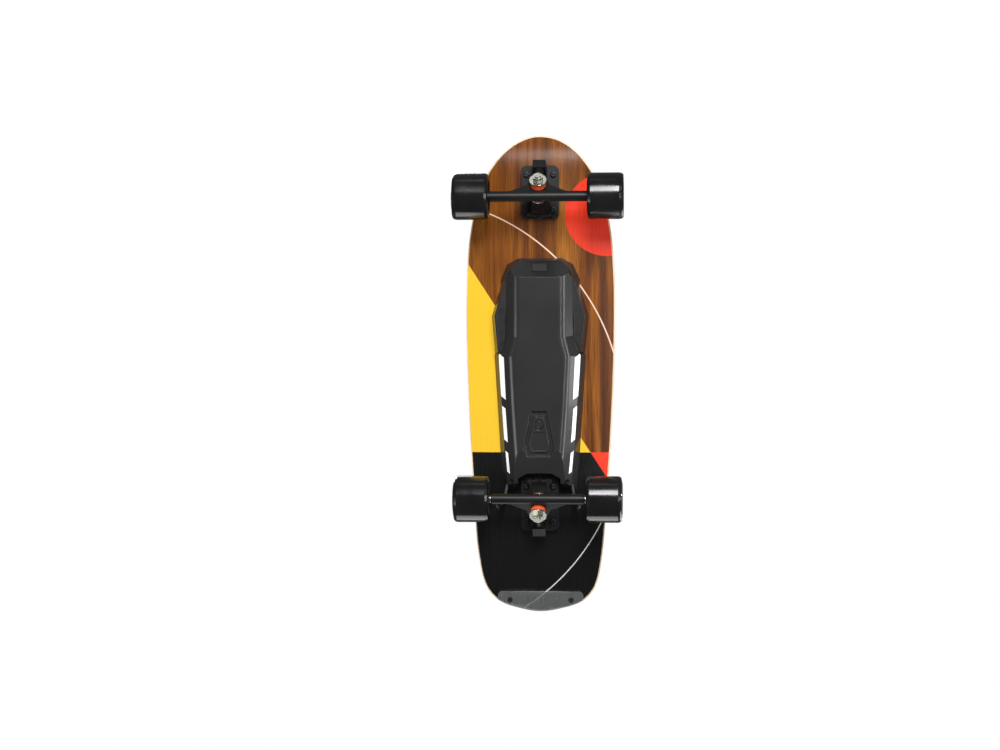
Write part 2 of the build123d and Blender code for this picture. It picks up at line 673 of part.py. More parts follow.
# ---------------------------------------------------------------- enclosure
NOTCH_X = -152.0
NOTCH_HALF = 32.5


BELT_DRAFT = 45.0  # the lower half of the side walls leans further out


def plan_face(half, inset):
    face = make_face(Polyline(*both_sides(half), close=True))
    return offset(face, -inset, kind=Kind.INTERSECTION) if inset else face


def shell_plan(inset):
    """Outline of the steep upper walls, carried down to the floor of the bump."""
    half = [(SHELL_TAIL, 42), (-120, 46), (-48, 50.5), (26, 55), (56, 46), (142, 46), (158, 39), (163, 30)]
    return plan_face(half, inset)


def floor_plan(inset):
    """Outline of the bump's flat floor."""
    half = [(SHELL_TAIL, 31), (-120, 35), (-48, 40), (26, 43.5), (56, 36), (150, 36), (160, 28)]
    return plan_face(half, inset)


def wing_plan(inset):
    return plan_face([(34, 40), (34, 64), (88, 69), (139, 54.5), (162, 46), (162, 30)], inset)


WING_Z = SHELL_Z + 16.0
WING_DRAFT = 14.0
RECESS = [(-56.0, 13.5), (-112.0, 24.5), (-129.0, 20.0)]
RECESS_DEPTH = 3.2
ISLAND = [(-64.0, 8.5), (-108.0, 17.5), (-121.0, 13.5)]
ISLAND_DROP = 0.6  # the island in the recess stays this far above the shell's floor
ISLAND_BEVEL = 1.8
DISH = [(-89.5, 10.0), (-107.0, 14.0), (-117.5, 11.0)]
DISH_DEPTH = 0.8
TOP_Z = BELLY_HEIGHT + 20.0


def drawn_in(inset, draft):
    """How far a leaning wall's foot moves in when the wall and the floor both move in."""
    return inset / cos(radians(draft)) - inset * tan(radians(draft))


def shell_block(inset):
    """The enclosure's outer form, or with an inset the hollow inside it."""
    low = SHELL_Z + inset
    walls = Pos(0, 0, low) * shell_plan(drawn_in(inset, SHELL_DRAFT))
    belt = Pos(0, 0, low) * floor_plan(drawn_in(inset, BELT_DRAFT))
    bump = extrude(walls, TOP_Z - low, taper=-SHELL_DRAFT) & extrude(belt, TOP_Z - low, taper=-BELT_DRAFT)
    bump = fillet(bump.edges().group_by(Axis.Z)[0], SHELL_INNER_ROUND if inset else SHELL_ROUND)
    wings = extrude(Pos(0, 0, WING_Z + inset) * wing_plan(inset), TOP_Z - WING_Z - inset, taper=-WING_DRAFT)
    body = bump + wings
    rise = 0.185
    tail = side_prism([
        (SHELL_TAIL_CREASE, low - 40), (SHELL_TAIL_CREASE, low), (SHELL_TAIL_CREASE - 90, low + 90 * rise),
        (SHELL_TAIL_CREASE - 90, low - 40)], 200)
    slope = 0.414 * inset
    nose = side_prism([
        (SHELL_NOSE - slope, low - 20), (SHELL_NOSE - slope, low), (SHELL_NOSE - slope + 60, low + 60),
        (SHELL_NOSE + 90, low - 20)], 200)
    deep = NOTCH_HALF + inset
    notch = prism([
        (NOTCH_X + inset, -18 - inset), (NOTCH_X + inset, 18 + inset), (NOTCH_X - 8, deep),
        (NOTCH_X - 90, deep), (NOTCH_X - 90, -deep), (NOTCH_X - 8, -deep)], low - 40, TOP_Z + 5)
    return body - tail - nose - notch


STRIPS = [  # front end, rear end, height
    (-118.0, -153.0, 4.0), (-49.0, -105.0, 5.5), (31.0, -40.0, 8.0),
]
STRIP_MIDDLE = BELLY_HEIGHT - 21.0
STRIP_LEAN = 0.8  # slant of the ends, as a share of the height
STRIP_DEPTH = 1.4


def strip_windows():
    """Six slanted windows that cut through both side walls."""
    windows = []
    for front, back, height in STRIPS:
        low = STRIP_MIDDLE - height / 2
        high = STRIP_MIDDLE + height / 2
        lean = STRIP_LEAN * height
        outline = [(back, low), (front - lean, low), (front, high), (back + lean, high)]
        face = make_face(Polyline(*outline, close=True))
        for side in (-1, 1):
            windows.append(extrude(Plane.XZ.offset(side * 30) * face, side * 60))
    return windows


FLAP_ALONG = 15.0
FLAP_ACROSS = 22.0
FLAP_THICK = 1.8
NOSE_OUT = Vector(sqrt(0.5), 0, -sqrt(0.5))
NOSE_DOWN = Vector(-sqrt(0.5), 0, -sqrt(0.5))
FLAP_MID = Vector(SHELL_NOSE + 15, 0, SHELL_Z + 15)
FLAP_HINGE = FLAP_MID - NOSE_DOWN * (FLAP_ALONG / 2)
SOCKET_RADIUS = 4.5
SOCKET_LENGTH = 10.0


def nose_box(along, across, low, high, centre=FLAP_MID):
    plane = Plane(origin=centre, x_dir=NOSE_DOWN, z_dir=NOSE_OUT)
    return plane * Pos(0, 0, (low + high) / 2) * Box(along, across, high - low)


def enclosure_parts():
    outer = shell_block(0)
    inner = shell_block(SHELL_WALL)
    seat = slab(-GASKET, 60)
    flange = (outer & slab(-GASKET - 3.5, -GASKET))
    opening = extrude(Pos(0, 0, SHELL_Z) * offset(shell_plan(0), 4), 80) & shell_block(SHELL_WALL + 2)
    recess = extrude(Pos(0, 0, SHELL_Z - 1) * plan_face(RECESS, 0), RECESS_DEPTH + 1, taper=40)
    island = prism(both_sides(ISLAND), SHELL_Z + ISLAND_DROP, SHELL_Z + RECESS_DEPTH + 0.5)
    island = chamfer(island.edges().group_by(Axis.Z)[0], ISLAND_BEVEL)
    island = island - prism(both_sides(DISH), SHELL_Z - 1, SHELL_Z + ISLAND_DROP + DISH_DEPTH)
    pad = extrude(Pos(0, 0, SHELL_Z) * offset(plan_face(RECESS, 0), 4), 5.5)
    port_pad = nose_box(20, 26, -7, -0.5)
    shell = outer - (inner - pad - port_pad - flange)
    shell = shell - (opening & slab(-GASKET - 4, 60)) - recess - seat + island
    shell = shell - disc((BUTTON_X, 0, SHELL_Z - 2), UP, BUTTON_RADIUS + GAP, 12)
    bevel_start = (BUTTON_X, 0, SHELL_Z + ISLAND_DROP - 0.01)
    shell = shell - cone(bevel_start, UP, BUTTON_RADIUS + 1.3, BUTTON_RADIUS, 1.3)
    shell = shell - disc((BUTTON_X, 0, SHELL_Z + 4.2), UP, BUTTON_RADIUS + 2.2 + GAP, 6)
    shell = shell - nose_box(FLAP_ALONG + 2.6, FLAP_ACROSS + 1, -FLAP_THICK - GAP, 4)
    socket_start = FLAP_MID - NOSE_OUT * (SOCKET_LENGTH + FLAP_THICK + GAP)
    shell = shell - disc(socket_start, NOSE_OUT, 7.5, SOCKET_LENGTH + FLAP_THICK + GAP)
    socket = disc(socket_start, NOSE_OUT, 7.5, SOCKET_LENGTH) - disc(
        socket_start + NOSE_OUT * 1.5, NOSE_OUT, SOCKET_RADIUS, SOCKET_LENGTH)
    hinge_y = FLAP_ACROSS / 2
    flap = nose_box(FLAP_ALONG - 1, FLAP_ACROSS, -FLAP_THICK, 0)
    flap = fillet(flap.edges().filter_by(Axis(origin=(0, 0, 0), direction=NOSE_OUT)), 2.5)
    knuckle = disc(FLAP_HINGE + NOSE_OUT * -0.9 + Vector(0, -hinge_y, 0), (0, 1, 0), 0.9, 2 * hinge_y)
    flap = flap + knuckle
    gasket = (outer & slab(-GASKET, 0)) - opening
    windows = strip_windows()
    behind = shell_block(STRIP_DEPTH)
    strips = []
    for window in windows:
        pocket = window - behind
        strips += (pocket & outer).solids()
        shell = shell - pocket
    return outer, shell, gasket, strips, socket, flap


def wing_panel_parts(shell, outer):
    """Two flat trim panels on the wings and the screws that hold the enclosure up."""
    outline = [(158, 48.5), (139, 54), (88.5, 67.2), (38, 63), (55, 53), (100, 51.5), (139, 50)]
    low = WING_Z - 1.1
    panel = prism(outline, low, WING_Z)
    inner = extrude(Pos(0, 0, low - 1) * offset(make_face(Polyline(*outline, close=True)), -1.3), 1.4)
    panel = panel - inner - outer
    panels = [panel, mirror(panel, Plane.XZ)]
    screws = []
    for x, y in shell_screw_places():
        wing = abs(y) > 50
        start = low + 0.4 if wing else SHELL_Z + 16
        top = belly_z(x, y) + 6
        screws.append(disc((x, y, start), UP, SHELL_SCREW, top - start))
        hole = disc((x, y, start - 30), UP, SHELL_SCREW, 90)
        seat = disc((x, y, start - 30), UP, 3.6, 30 + 2.0)
        column = disc((x, y, start + 2), UP, 5.0, belly_z(x, y) - GASKET - start - 2)
        shell = fused([shell] + (column & outer).solids()) - slab(-GASKET, 60) - hole - seat
        panels = [p - disc((x, y, start - 30), UP, 3.6, 60) for p in panels]
        head = disc((x, y, start), UP, 3.3, 2.0) - hexagon((x, y, start - 0.1), UP, 2.2, 1.3)
        screws[-1] = screws[-1] - disc((x, y, start - 0.1), UP, 3.3, 1.6) + head
    return shell, panels, screws


def inside_parts():
    """Battery, its circuit board, the motor controller, its heat plate and the power switch."""
    pitch = 2 * CELL_RADIUS + 0.2
    cell_z = SHELL_Z + SHELL_WALL + CELL_RADIUS + 1.2
    cells = []
    for row in range(3):
        for column in range(4):
            start = (-50.5 + row * (CELL_LENGTH + 0.4), (column - 1.5) * pitch, cell_z)
            cells.append(disc(start, (1, 0, 0), CELL_RADIUS, CELL_LENGTH))
    board_z = cell_z + CELL_RADIUS + 0.6
    battery_board = Pos(50, 0, board_z + 1.6) * Box(150, 56, 1.6)
    battery_board = battery_board + Pos(20, 0, board_z + 4.4) * Box(30, 34, 4)
    controller = Pos(-101, 0, BELLY_HEIGHT - 15) * Box(80, 62, 13.5)
    controller = chamfer(controller.edges().filter_by(Axis.X), 2)
    fins = [Pos(-101, 6.5 * (i - 4), BELLY_HEIGHT - 6.9) * Box(80, 2.5, 3.0) for i in range(9)]
    controller = fused([controller] + fins)
    heat_plate = Pos(-101, 0, BELLY_HEIGHT - 4.3) * Box(80, 54, 2.0)
    switch = Pos(BUTTON_X, 0, SHELL_Z + 11) * Box(13, 13, 4)
    return {
        "battery_cells": group(cells),
        "battery_board": battery_board,
        "motor_controller": controller,
        "heat_plate": heat_plate,
        "power_switch": switch,
    }


def button():
    """Cap with a retaining flange under the shell's floor."""
    low = SHELL_Z + 0.3
    cap = disc((BUTTON_X, 0, low), UP, BUTTON_RADIUS, 6.9)
    cap = fillet(cap.edges().group_by(Axis.Z)[0], 0.8)
    flange = disc((BUTTON_X, 0, SHELL_Z + 5.6), UP, BUTTON_RADIUS + 1.8, 1.6)
    dish = disc((BUTTON_X, 0, low - 0.1), UP, BUTTON_RADIUS - 2, 0.5)
    return cap + flange - dish


def cable_path(side):
    """Phase lead from the enclosure's rear lug to the inner end of the motor."""
    points = [(-170, side * 50, 88), (-184, side * 52, 84), (-200, side * 57, 70), (-205, side * 61, 52),
              (-196, side * 63, 41)]
    return points


def motor_cables():
    tubes = []
    for side in (1, -1):
        points = cable_path(side)
        line = FilletPolyline(*points, radius=[7, 9, 8])
        start = Vector(*points[0])
        direction = (Vector(*points[1]) - start).normalized()
        section = Plane(origin=start, z_dir=direction) * Circle(CABLE_RADIUS)
        tubes.append(sweep(section, path=line))
    return tubes


# ---------------------------------------------------------------- write every node
def all_parts():
    parts = {}
    parts.update(deck_parts())
    parts.update(tail_guard_parts())
    parts.update(truck_parts())
    parts.update(front_axle_parts())
    parts.update(front_wheel_parts())
    parts.update(rear_axle_parts())
    parts.update(rear_wheel_parts())
    outer, shell, gasket, strips, socket, flap = enclosure_parts()
    shell, panels, screws = wing_panel_parts(shell, outer)
    for x, y in shell_screw_places():
        gasket = gasket - disc((x, y, SHELL_Z), UP, SHELL_SCREW + 0.1, 90)
    cables = motor_cables()
    parts["enclosure_shell"] = shell - cables[0] - cables[1]
    parts["enclosure_gasket"] = group([gasket])
    parts["light_strips"] = group(strips)
    parts["wing_panels"] = group(panels)
    parts["enclosure_screws"] = group(screws)
    parts["charge_socket"] = socket
    parts["charge_port_cover"] = flap
    parts["power_button"] = button()
    parts["motor_cables"] = group(cables)
    parts.update(inside_parts())
    return parts


os.makedirs("parts", exist_ok=True)
for node, shape in all_parts().items():
    export_step(shape, f"parts/{node}.step")
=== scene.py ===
"""Looks for the electric skateboard: materials, graphics, soft pieces, light and camera."""
import json
import math

import bpy
from mathutils import Matrix, Vector


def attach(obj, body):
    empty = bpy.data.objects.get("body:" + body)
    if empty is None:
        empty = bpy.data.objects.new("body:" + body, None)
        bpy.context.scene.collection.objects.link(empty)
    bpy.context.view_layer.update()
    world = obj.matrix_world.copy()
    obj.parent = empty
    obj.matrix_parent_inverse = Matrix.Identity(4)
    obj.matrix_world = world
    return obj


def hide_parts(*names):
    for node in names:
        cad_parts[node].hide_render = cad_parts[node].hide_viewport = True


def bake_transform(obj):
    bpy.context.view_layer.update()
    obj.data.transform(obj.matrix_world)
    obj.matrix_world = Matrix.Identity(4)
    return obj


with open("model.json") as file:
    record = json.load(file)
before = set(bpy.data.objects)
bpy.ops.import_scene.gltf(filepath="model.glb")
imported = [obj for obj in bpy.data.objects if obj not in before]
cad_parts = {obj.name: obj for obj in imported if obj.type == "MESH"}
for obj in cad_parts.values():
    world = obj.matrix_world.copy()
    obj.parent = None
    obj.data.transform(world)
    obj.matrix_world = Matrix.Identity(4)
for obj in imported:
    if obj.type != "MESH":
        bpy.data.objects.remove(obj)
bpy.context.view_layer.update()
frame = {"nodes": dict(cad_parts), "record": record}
NODES = frame["nodes"]
MM = 0.001


# ------------------------------------------------------------------ camera and stage
LENS = 73.3
CAMERA_AT = Vector((-0.002, 0.169, -3.029))
CAMERA_TARGET = Vector((-0.002, -0.062, 0.100))
SENSOR_WIDTH = 36.0
CLIP_END = 50.0
LIGHTS = [  # name, place, point it faces, width and height, watts, strength of its highlights
    ("under_key", (1.75, 0.42, -2.5), (0.04, 0.05, 0.1), (1.0, 1.35), 105, 1.0),
    ("under_side", (0.0, 2.6, -1.2), (0.0, 0.0, 0.1), (2.2, 0.5), 34, 1.0),
    ("under_fill", (-0.6, -2.2, -1.6), (0.0, 0.0, 0.1), (1.6, 1.2), 26, 0.3),
    ("under_band", (0.12, 1.30, -2.4), (0.12, 0.0, 0.08), (1.1, 0.10), 9, 1.0),
    ("under_recess", (-0.095, 2.2, 0.0), (-0.095, 0.0, 0.065), (0.12, 0.5), 4, 1.0),
    ("under_tail", (-2.4, -0.1, 0.75), (-0.1, 0.0, 0.05), (1.5, 1.5), 22, 1.0),
    ("under_nose", (2.6, -0.15, -0.30), (0.27, 0.0, 0.05), (0.16, 0.5), 0.9, 1.0),
    ("top_key", (1.2, -1.3, 2.4), (0, 0, 0.1), (1.6, 1.6), 62, 1.0),
    ("top_fill", (-1.6, 1.6, 1.8), (0, 0, 0.1), (1.8, 1.8), 34, 1.0),
]
WHITE = (1, 1, 1, 1)
ROOM_COLOR = (0.95, 0.97, 1.0, 1)
ROOM_STRENGTH = 0.16
FLOOR_HALF = 6.0
FLOOR_COLOR = (0.52, 0.52, 0.52, 1)
FLOOR_GLOW = 0.36
FLOOR_FADE = (0.45, 1.5)  # distances from the middle where the floor starts and ends its fade


def add_object(name, data):
    made = bpy.data.objects.new(name, data)
    bpy.context.scene.collection.objects.link(made)
    return made


def add_camera():
    data = bpy.data.cameras.new("camera")
    data.lens = LENS
    data.sensor_width = SENSOR_WIDTH
    data.clip_end = CLIP_END
    camera = add_object("camera", data)
    back = (CAMERA_AT - CAMERA_TARGET).normalized()
    up = (Vector((1, 0, 0)) - back * back.x).normalized()
    right = up.cross(back)
    rotation = Matrix((right, up, back)).transposed().to_4x4()
    camera.matrix_world = Matrix.Translation(CAMERA_AT) @ rotation
    bpy.context.scene.camera = camera


def add_lights():
    for name, place, aim, size, power, highlights in LIGHTS:
        data = bpy.data.lights.new(name, "AREA")
        data.shape = "RECTANGLE"
        data.size, data.size_y = size
        data.energy = power
        data.specular_factor = highlights
        light = add_object(name, data)
        light.location = place
        direction = Vector(aim) - Vector(place)
        light.rotation_euler = direction.to_track_quat("-Z", "Y").to_euler()
        light.visible_camera = False


def add_world():
    """White where the camera looks past the object, and a dim room for everything else."""
    world = bpy.data.worlds.new("studio")
    bpy.context.scene.world = world
    world.use_nodes = True
    tree = world.node_tree
    tree.nodes.clear()
    path = tree.nodes.new("ShaderNodeLightPath")
    seen = tree.nodes.new("ShaderNodeBackground")
    seen.inputs["Color"].default_value = WHITE
    seen.inputs["Strength"].default_value = 1.0
    felt = tree.nodes.new("ShaderNodeBackground")
    felt.inputs["Color"].default_value = ROOM_COLOR
    felt.inputs["Strength"].default_value = ROOM_STRENGTH
    mix = tree.nodes.new("ShaderNodeMixShader")
    out = tree.nodes.new("ShaderNodeOutputWorld")
    tree.links.new(path.outputs["Is Camera Ray"], mix.inputs[0])
    tree.links.new(felt.outputs[0], mix.inputs[1])
    tree.links.new(seen.outputs[0], mix.inputs[2])
    tree.links.new(mix.outputs[0], out.inputs["Surface"])


def add_floor():
    """A pale floor that is seen from above; its underside is clear, so the belly can be seen."""
    mesh = bpy.data.meshes.new("floor")
    corners = [(-1, -1), (1, -1), (1, 1), (-1, 1)]
    mesh.from_pydata([(x * FLOOR_HALF, y * FLOOR_HALF, 0) for x, y in corners], [], [(0, 1, 2, 3)])
    floor = add_object("floor", mesh)
    mat = bpy.data.materials.new("floor")
    mat.use_nodes = True
    tree = mat.node_tree
    shader = tree.nodes["Principled BSDF"]
    shader.inputs["Base Color"].default_value = FLOOR_COLOR
    shader.inputs["Roughness"].default_value = 0.8
    shader.inputs["Specular IOR Level"].default_value = 0.1
    shader.inputs["Emission Color"].default_value = WHITE
    shader.inputs["Emission Strength"].default_value = FLOOR_GLOW
    white = tree.nodes.new("ShaderNodeEmission")
    coords = tree.nodes.new("ShaderNodeTexCoord")
    length = tree.nodes.new("ShaderNodeVectorMath")
    length.operation = "LENGTH"
    fade = tree.nodes.new("ShaderNodeMapRange")
    fade.interpolation_type = "SMOOTHSTEP"
    fade.inputs["From Min"].default_value, fade.inputs["From Max"].default_value = FLOOR_FADE
    backdrop = tree.nodes.new("ShaderNodeMixShader")
    tree.links.new(coords.outputs["Object"], length.inputs[0])
    tree.links.new(length.outputs["Value"], fade.inputs["Value"])
    tree.links.new(fade.outputs[0], backdrop.inputs[0])
    tree.links.new(shader.outputs[0], backdrop.inputs[1])
    tree.links.new(white.outputs[0], backdrop.inputs[2])
    clear = tree.nodes.new("ShaderNodeBsdfTransparent")
    side = tree.nodes.new("ShaderNodeNewGeometry")
    mix = tree.nodes.new("ShaderNodeMixShader")
    tree.links.new(side.outputs["Backfacing"], mix.inputs[0])
    tree.links.new(backdrop.outputs[0], mix.inputs[1])
    tree.links.new(clear.outputs[0], mix.inputs[2])
    tree.links.new(mix.outputs[0], tree.nodes["Material Output"].inputs["Surface"])
    mesh.materials.append(mat)
    floor.visible_glossy = False
    floor.visible_diffuse = False
    floor.visible_shadow = False


# ------------------------------------------------------------------ material kit
BEVEL_SAMPLES = 6


class Paint:
    """A material under construction: small helpers around its node tree."""

    def __init__(self, name, color, roughness, metallic=0.0, **extra):
        self.mat = bpy.data.materials.new(name)
        self.mat.use_nodes = True
        self.tree = self.mat.node_tree
        self.shader = self.tree.nodes["Principled BSDF"]
        self.shader.inputs["Base Color"].default_value = (*color, 1)
        self.shader.inputs["Roughness"].default_value = roughness
        self.shader.inputs["Metallic"].default_value = metallic
        for socket, value in extra.items():
            self.shader.inputs[socket.replace("_", " ")].default_value = value
        coords = self.tree.nodes.new("ShaderNodeTexCoord")
        self.place = coords.outputs["Object"]
        split = self.tree.nodes.new("ShaderNodeSeparateXYZ")
        self.link(self.place, split.inputs[0])
        self.x, self.y, self.z = split.outputs

    def link(self, a, b):
        self.tree.links.new(a, b)

    def put(self, value, socket):
        if hasattr(value, "is_linked"):
            self.link(value, socket)
        else:
            socket.default_value = value

    def math(self, op, a, b=0.0, c=0.0):
        node = self.tree.nodes.new("ShaderNodeMath")
        node.operation = op
        for value, socket in zip((a, b, c), node.inputs):
            self.put(value, socket)
        return node.outputs[0]

    def stretched(self, sx, sy, sz):
        node = self.tree.nodes.new("ShaderNodeMapping")
        node.inputs["Scale"].default_value = (sx, sy, sz)
        self.link(self.place, node.inputs["Vector"])
        return node.outputs[0]

    def noise(self, scale, detail=3.0, vector=None, distortion=0.0):
        node = self.tree.nodes.new("ShaderNodeTexNoise")
        node.inputs["Scale"].default_value = scale
        node.inputs["Detail"].default_value = detail
        node.inputs["Distortion"].default_value = distortion
        self.link(vector or self.place, node.inputs["Vector"])
        return node.outputs[0]

    def cells(self, scale):
        node = self.tree.nodes.new("ShaderNodeTexVoronoi")
        node.inputs["Scale"].default_value = scale
        self.link(self.place, node.inputs["Vector"])
        return node

    def ramp(self, value, stops):
        node = self.tree.nodes.new("ShaderNodeValToRGB")
        ramp = node.color_ramp
        while len(ramp.elements) < len(stops):
            ramp.elements.new(0.5)
        for element, (at, color) in zip(ramp.elements, stops):
            element.position = at
            element.color = (*color, 1)
        self.link(value, node.inputs[0])
        return node.outputs[0]

    def span(self, value, low, high, out_low, out_high):
        node = self.tree.nodes.new("ShaderNodeMapRange")
        for number, socket in zip((low, high, out_low, out_high), node.inputs[1:5]):
            socket.default_value = number
        self.link(value, node.inputs[0])
        return node.outputs[0]

    def over(self, mask, base, top):
        node = self.tree.nodes.new("ShaderNodeMix")
        node.data_type = "RGBA"
        self.link(mask, node.inputs[0])
        for value, socket in ((base, node.inputs[6]), (top, node.inputs[7])):
            self.put(value if hasattr(value, "is_linked") else (*value, 1), socket)
        return node.outputs[2]

    def color(self, value):
        self.link(value, self.shader.inputs["Base Color"])

    def rough(self, value):
        self.link(value, self.shader.inputs["Roughness"])

    def bump(self, height, distance, strength=0.5, edge=0.0):
        node = self.tree.nodes.new("ShaderNodeBump")
        if edge:
            rounded = self.tree.nodes.new("ShaderNodeBevel")
            rounded.samples = BEVEL_SAMPLES
            rounded.inputs["Radius"].default_value = edge
            self.link(rounded.outputs[0], node.inputs["Normal"])
        node.inputs["Strength"].default_value = strength
        node.inputs["Distance"].default_value = distance
        self.link(height, node.inputs["Height"])
        self.link(node.outputs[0], self.shader.inputs["Normal"])


def circle_through(a, b, c):
    """Centre and radius of the circle through three points."""
    (ax, ay), (bx, by), (cx, cy) = a, b, c
    d = 2 * (ax * (by - cy) + bx * (cy - ay) + cx * (ay - by))
    aa, bb, cc = ax * ax + ay * ay, bx * bx + by * by, cx * cx + cy * cy
    x = (aa * (by - cy) + bb * (cy - ay) + cc * (ay - by)) / d
    y = (aa * (cx - bx) + bb * (ax - cx) + cc * (bx - ax)) / d
    return x, y, math.hypot(ax - x, ay - y)


# ------------------------------------------------------------------ wood and deck graphics
DISC_AT = (0.245, 0.102)
DISC_RADIUS = 0.064
DIAGONAL = ((0.165, -0.109), (-0.122, 0.078))
TAIL_LINE = -0.121
FRONT_ARC = ((0.247, -0.079), (0.140, 0.058), (0.041, 0.110))
FRONT_ARC_WIDTH = 0.0019
FRONT_ARC_COLOR = (0.86, 0.60, 0.45)
TAIL_ARC = ((-0.234, 0.091), (-0.296, 0.049), (-0.365, -0.030))
TAIL_ARC_WIDTH = 0.0015
TAIL_ARC_COLOR = (0.72, 0.72, 0.70)
ARC_REACH = (0.02, 0.012)  # how far an arc runs on past its points, to the tail and to the nose
PRINT_EDGE = 0.0004  # half-width of the blur on the edges of the printed fields
YELLOW, WORN_YELLOW = (0.84, 0.52, 0.030), (0.80, 0.44, 0.03)
RED, WORN_RED = (0.82, 0.045, 0.018), (0.60, 0.028, 0.012)
TAIL_BLACK = (0.006, 0.006, 0.006)
WOOD_BASE = (0.2, 0.08, 0.03)
WOOD_STRIPES = [  # share of the noise, colour
    (0.30, (0.040, 0.011, 0.003)),
    (0.45, (0.120, 0.034, 0.006)),
    (0.56, (0.270, 0.086, 0.010)),
    (0.70, (0.480, 0.175, 0.022)),
]
WOOD_PORES = (0.045, 0.013, 0.005)
WOOD_SHADE = (0.095, 0.026, 0.005)
PLY_LINE = (0.34, 0.17, 0.09)
PLY_CREAM, PLY_PALE, PLY_PINK = (0.70, 0.50, 0.30), (0.80, 0.62, 0.42), (0.62, 0.33, 0.24)
PLY_TONES = (PLY_PALE, PLY_CREAM, PLY_PINK, PLY_PALE, PLY_CREAM)


def brighter(color, light):
    return tuple(c * light for c in color)


def wood_color(paint, light=1.0):
    """Dark striped veneer: long flowing bands, fine pores and a slow change of tone."""
    bands = paint.noise(1.0, 3.0, paint.stretched(2.2, 30.0, 6.0), 1.1)
    fibres = paint.noise(1.0, 6.0, paint.stretched(22.0, 620.0, 60.0), 0.2)
    tone = paint.noise(5.0, 2.0)
    stripes = paint.ramp(bands, [(at, brighter(color, light)) for at, color in WOOD_STRIPES])
    pores = paint.span(fibres, 0.36, 0.60, 0.55, 1.0)
    dark = paint.over(pores, brighter(WOOD_PORES, light), stripes)
    shade = paint.span(tone, 0.38, 0.68, 0.0, 0.60)
    return paint.over(shade, dark, brighter(WOOD_SHADE, light)), fibres


def step(paint, value, edge=0.0):
    return paint.span(value, edge - PRINT_EDGE, edge + PRINT_EDGE, 0.0, 1.0)


def half_plane(paint, line):
    """1 on the wood side of a straight line through two points."""
    (ax, ay), (bx, by) = line
    length = math.hypot(bx - ax, by - ay)
    nx, ny = -(by - ay) / length, (bx - ax) / length
    if nx < 0:
        nx, ny = -nx, -ny
    first = paint.math("MULTIPLY", paint.math("SUBTRACT", paint.x, ax), nx)
    second = paint.math("MULTIPLY", paint.math("SUBTRACT", paint.y, ay), ny)
    return step(paint, paint.math("ADD", first, second))


def distance_to(paint, x, y):
    dx = paint.math("SUBTRACT", paint.x, x)
    dy = paint.math("SUBTRACT", paint.y, y)
    squares = paint.math("MULTIPLY", dx, dx), paint.math("MULTIPLY", dy, dy)
    return paint.math("SQRT", paint.math("ADD", *squares))


def arc_mask(paint, points, width):
    x, y, radius = circle_through(*points)
    away = paint.math("ABSOLUTE", paint.math("SUBTRACT", distance_to(paint, x, y), radius))
    line = paint.math("SUBTRACT", 1.0, step(paint, away, width / 2))
    low = min(p[0] for p in points) - ARC_REACH[0]
    high = max(p[0] for p in points) + ARC_REACH[1]
    below_high = paint.math("SUBTRACT", 1.0, step(paint, paint.x, high))
    inside = paint.math("MULTIPLY", step(paint, paint.x, low), below_high)
    return paint.math("MULTIPLY", line, inside)


def belly_material():
    paint = Paint("belly_veneer", WOOD_BASE, 0.32, Specular_IOR_Level=0.2)
    wood, fibres = wood_color(paint)
    wood_side = half_plane(paint, DIAGONAL)
    before_tail = step(paint, paint.x, TAIL_LINE)
    print_wear = paint.span(paint.noise(9.0, 4.0), 0.25, 0.75, 0.0, 0.25)
    yellow = paint.over(print_wear, YELLOW, WORN_YELLOW)
    red = paint.over(print_wear, RED, WORN_RED)
    forward = paint.over(wood_side, yellow, wood)
    rear = paint.over(wood_side, TAIL_BLACK, red)
    color = paint.over(before_tail, rear, forward)
    disc = paint.math("SUBTRACT", 1.0, step(paint, distance_to(paint, *DISC_AT), DISC_RADIUS))
    color = paint.over(disc, color, red)
    color = paint.over(arc_mask(paint, FRONT_ARC, FRONT_ARC_WIDTH), color, FRONT_ARC_COLOR)
    color = paint.over(arc_mask(paint, TAIL_ARC, TAIL_ARC_WIDTH), color, TAIL_ARC_COLOR)
    paint.color(color)
    paint.rough(paint.span(fibres, 0.3, 0.7, 0.24, 0.34))
    paint.bump(fibres, 0.00005, 0.2)
    return paint.mat


def top_wood_material():
    paint = Paint("top_veneer", WOOD_BASE, 0.4, Coat_Weight=0.3, Coat_Roughness=0.2)
    wood, fibres = wood_color(paint, 1.35)
    paint.color(wood)
    paint.rough(paint.span(fibres, 0.3, 0.7, 0.34, 0.5))
    paint.bump(fibres, 0.00012, 0.3)
    return paint.mat


def ply_material():
    """Maple plies on the deck's edge, from the share of the core's thickness kept per corner."""
    paint = Paint("maple_ply", (0.75, 0.58, 0.38), 0.55)
    level = paint.tree.nodes.new("ShaderNodeAttribute")
    level.attribute_name = "ply"
    grain = paint.noise(1.0, 5.0, paint.stretched(30.0, 30.0, 900.0), 0.3)
    stops = []
    for i, tone in enumerate(PLY_TONES):
        low = i / len(PLY_TONES)
        stops += [(low + 0.004, PLY_LINE), (low + 0.024, tone), (low + 0.188, tone)]
    plies = paint.ramp(level.outputs["Fac"], stops)
    color = paint.over(paint.span(grain, 0.35, 0.7, 0.0, 0.45), plies, (0.46, 0.28, 0.15))
    paint.color(color)
    paint.bump(grain, 0.0002, 0.4)
    return paint.mat


def smooth(v):
    v = min(max(v, 0.0), 1.0)
    return v * v * (3 - 2 * v)


